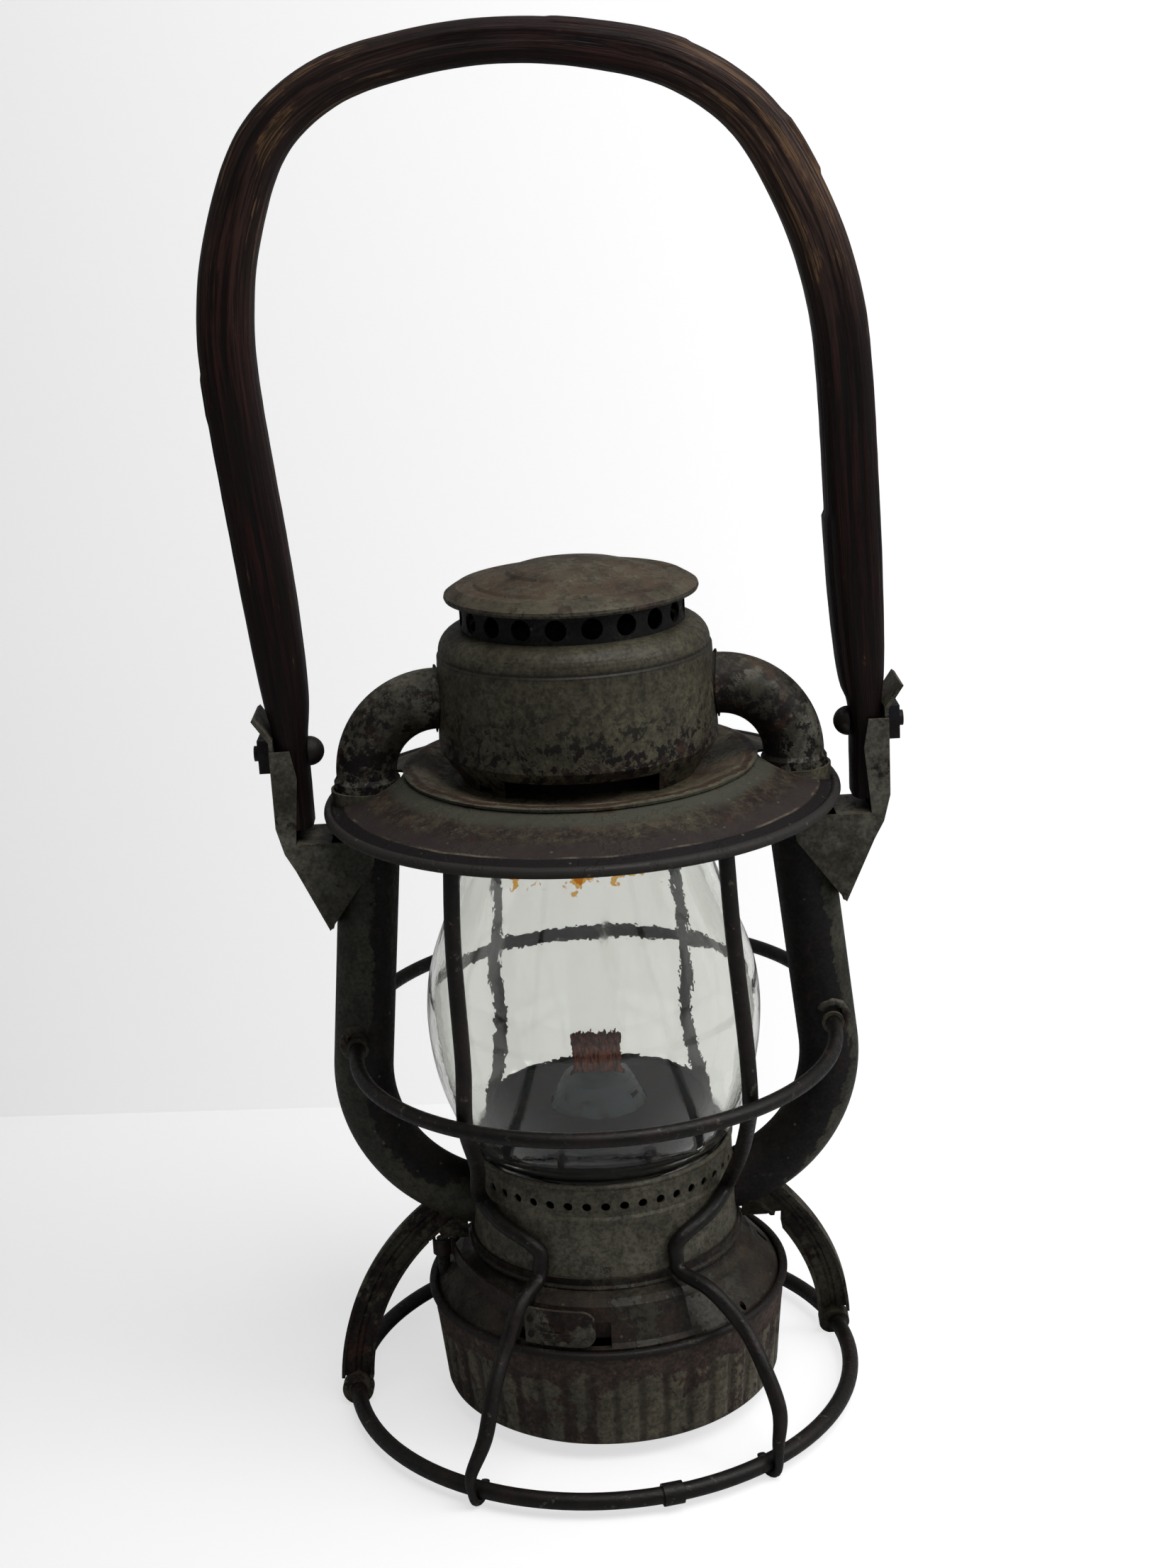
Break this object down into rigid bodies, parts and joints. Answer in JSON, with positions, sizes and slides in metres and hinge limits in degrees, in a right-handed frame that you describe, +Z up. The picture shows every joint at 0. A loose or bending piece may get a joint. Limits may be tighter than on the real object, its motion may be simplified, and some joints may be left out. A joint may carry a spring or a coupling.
{
  "type": "railroad lantern",
  "caption": "Tubular hand lantern with a glass globe, a wick burner on a twist-in fount, a wire guard with a base ring and a bent wood bail.",
  "frame": {"origin": "on the floor, on the axis of the fount, the collar and the globe", "axes": "+Z up along the globe's axis; +X to the right of the front, through the right side tube; the front looks along -Y"},
  "size_m": [0.1966, 0.1724, 0.4144],
  "materials": {
    "olive_paint": "old dark olive paint, chipped and dusty",
    "dusty_paint": "old paint under beige dust with rust",
    "worn_steel": "nearly black wire and rims with worn spots",
    "spring_steel": "brown spring steel",
    "burner_metal": "tarnished brown burner metal",
    "deck_metal": "blue-grey plated steel, dull",
    "hardware": "dark iron bolts and nuts",
    "clear_glass": "clear glass with dusty streaks",
    "bent_wood": "dark red-brown bent wood with splinters",
    "wick_cotton": "flat woven cotton, scorched"
  },
  "bodies": {
    "root": {"collar": "olive_paint", "base_skirt": "olive_paint", "globe_plate": "deck_metal", "globe": "clear_glass", "side_tube_left": "olive_paint", "side_tube_right": "olive_paint", "tube_socket_left": "olive_paint", "tube_socket_right": "olive_paint", "top_plate": "dusty_paint", "bail_bracket_left": "olive_paint", "bail_bracket_right": "olive_paint", "bail": "bent_wood", "bail_bolts": "hardware", "bail_nuts": "hardware", "guard_wire_front_left": "worn_steel", "guard_wire_front_right": "worn_steel", "guard_wire_rear_left": "worn_steel", "guard_wire_rear_right": "worn_steel", "guard_ring_front": "worn_steel", "guard_ring_rear": "worn_steel", "ring_solder": "olive_paint", "base_ring": "worn_steel", "ring_sleeve": "worn_steel", "leg_left": "olive_paint", "leg_right": "olive_paint"},
    "hood": {"dish_plate": "dusty_paint", "globe_seat": "dusty_paint", "flue": "dusty_paint", "drum": "olive_paint", "elbow_left": "olive_paint", "elbow_right": "olive_paint", "crown_ring": "dusty_paint", "cap": "dusty_paint"},
    "fount": {"fount_body": "olive_paint", "fount_top": "worn_steel", "fount_rim": "worn_steel", "burner_collar": "burner_metal", "burner_body": "burner_metal", "burner_cone": "deck_metal", "wick_tube": "burner_metal"},
    "wick": {"wick": "wick_cotton"},
    "knob": {"wick_shaft": "burner_metal", "wick_knob": "burner_metal"},
    "latch": {"latch_leaf": "spring_steel", "latch_tab": "olive_paint", "latch_rivets": "worn_steel"}
  },
  "joints": [
    {"name": "hood_lift", "type": "slide", "parent": "root", "child": "hood", "axis": [0, 0, 1], "range_m": [0, 0.06]},
    {"name": "fount_twist", "type": "hinge", "parent": "root", "child": "fount", "pos_m": [0, 0, 0.02], "axis": [0, 0, 1], "range_deg": [0, 30]},
    {"name": "knob_turn", "type": "hinge", "parent": "fount", "child": "knob", "pos_m": [0, 0.005, 0.0605], "axis": [1, 0, 0], "range_deg": [-48, 163]},
    {"name": "wick_raise", "type": "slide", "parent": "fount", "child": "wick", "axis": [0, 0, 1], "range_m": [-0.0105, 0.003]},
    {"name": "latch_press", "type": "hinge", "parent": "root", "child": "latch", "pos_m": [-0.0515, -0.0006, 0.0488], "axis": [0, 0, 1], "range_deg": [0, 1.5], "stiffness_Nm_per_rad": 0.3}
  ],
  "couplings": [
    {"joint": "knob_turn", "follows": "wick_raise", "rad_per_m": -266.67}
  ]
}
